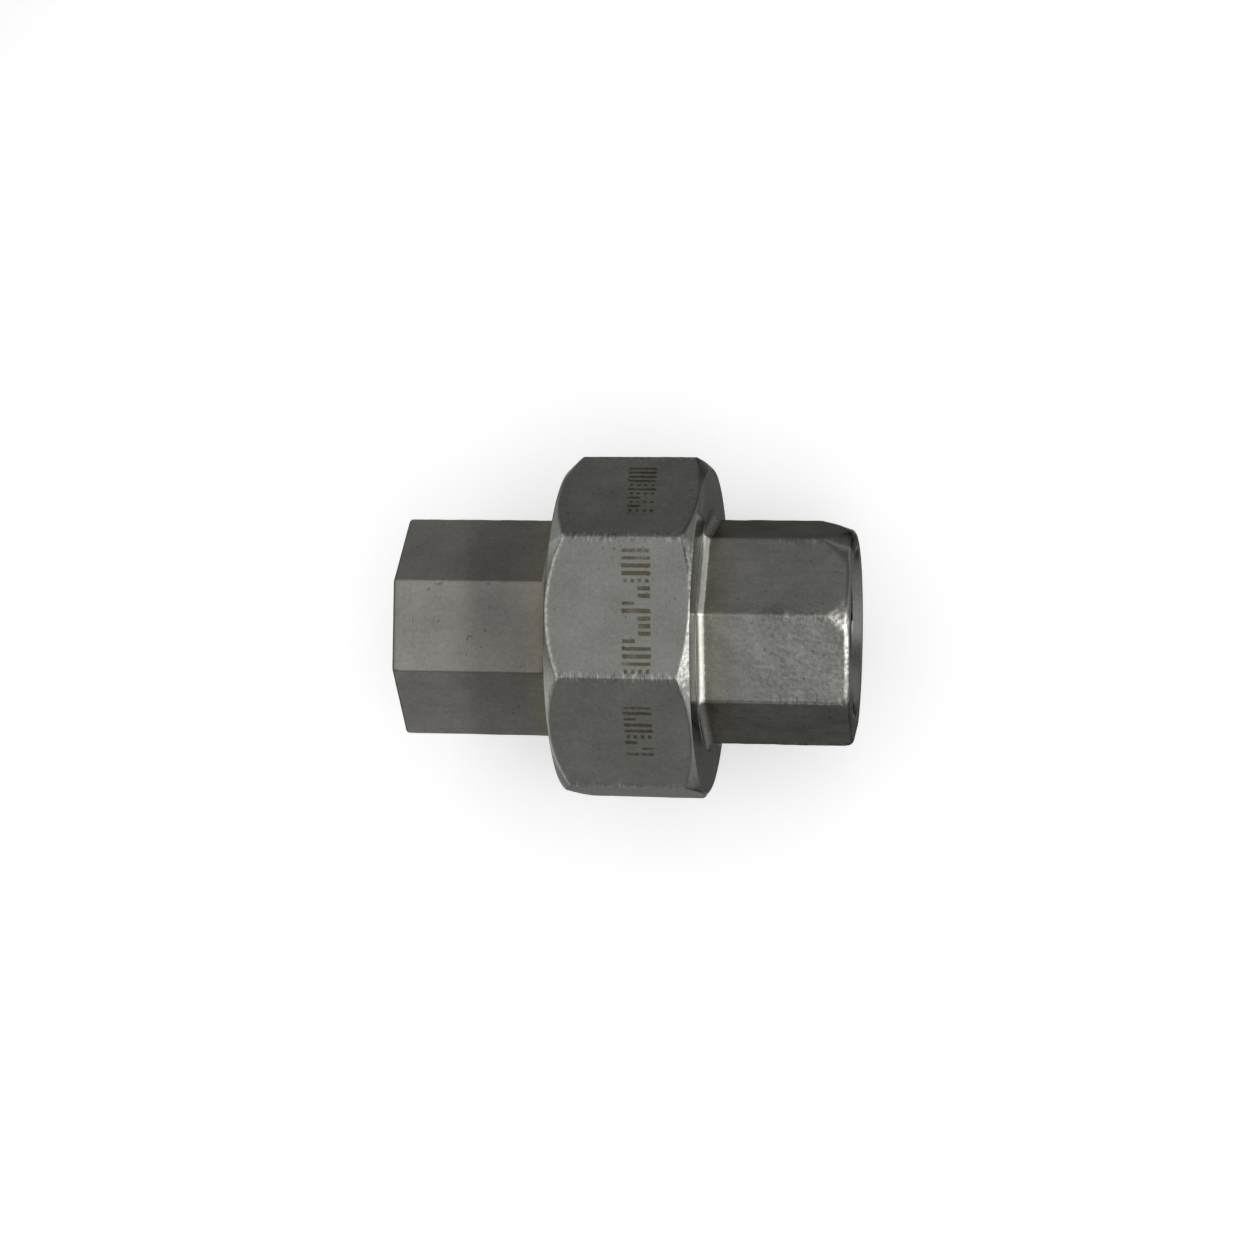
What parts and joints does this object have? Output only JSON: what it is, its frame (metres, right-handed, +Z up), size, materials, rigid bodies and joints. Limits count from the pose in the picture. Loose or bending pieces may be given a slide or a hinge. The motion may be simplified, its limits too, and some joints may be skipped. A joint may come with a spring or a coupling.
{
  "type": "conical pipe union",
  "caption": "Octagonal stainless pipe union, small bore: a threaded body with a cone seat, a union nut and a tail piece with a cone nose, female pipe thread at both ends.",
  "frame": {"origin": "on the surface that the nut's bottom flat lies on, below the pipe axis at half length", "axes": "+X along the pipe axis from the threaded body to the tail piece, +Z up, normal to the nut's flats at top and bottom"},
  "size_m": [0.0458, 0.0336, 0.0336],
  "materials": {
    "cast_stainless": "investment-cast stainless steel, tumbled to a fine satin grain"
  },
  "bodies": {
    "body": {"threaded_body": "cast_stainless"},
    "tail": {"tail_piece": "cast_stainless"},
    "nut": {"union_nut": "cast_stainless"}
  },
  "joints": [
    {"name": "tail_slide", "type": "slide", "parent": "body", "child": "tail", "axis": [1, 0, 0], "range_m": [0, 0.0075]},
    {"name": "nut_turn", "type": "hinge", "parent": "tail", "child": "nut", "pos_m": [0, 0, 0.0168], "axis": [1, 0, 0], "range_deg": [0, 1800]}
  ],
  "couplings": [
    {"joint": "nut_turn", "follows": "tail_slide", "rad_per_m": 4188.8}
  ]
}
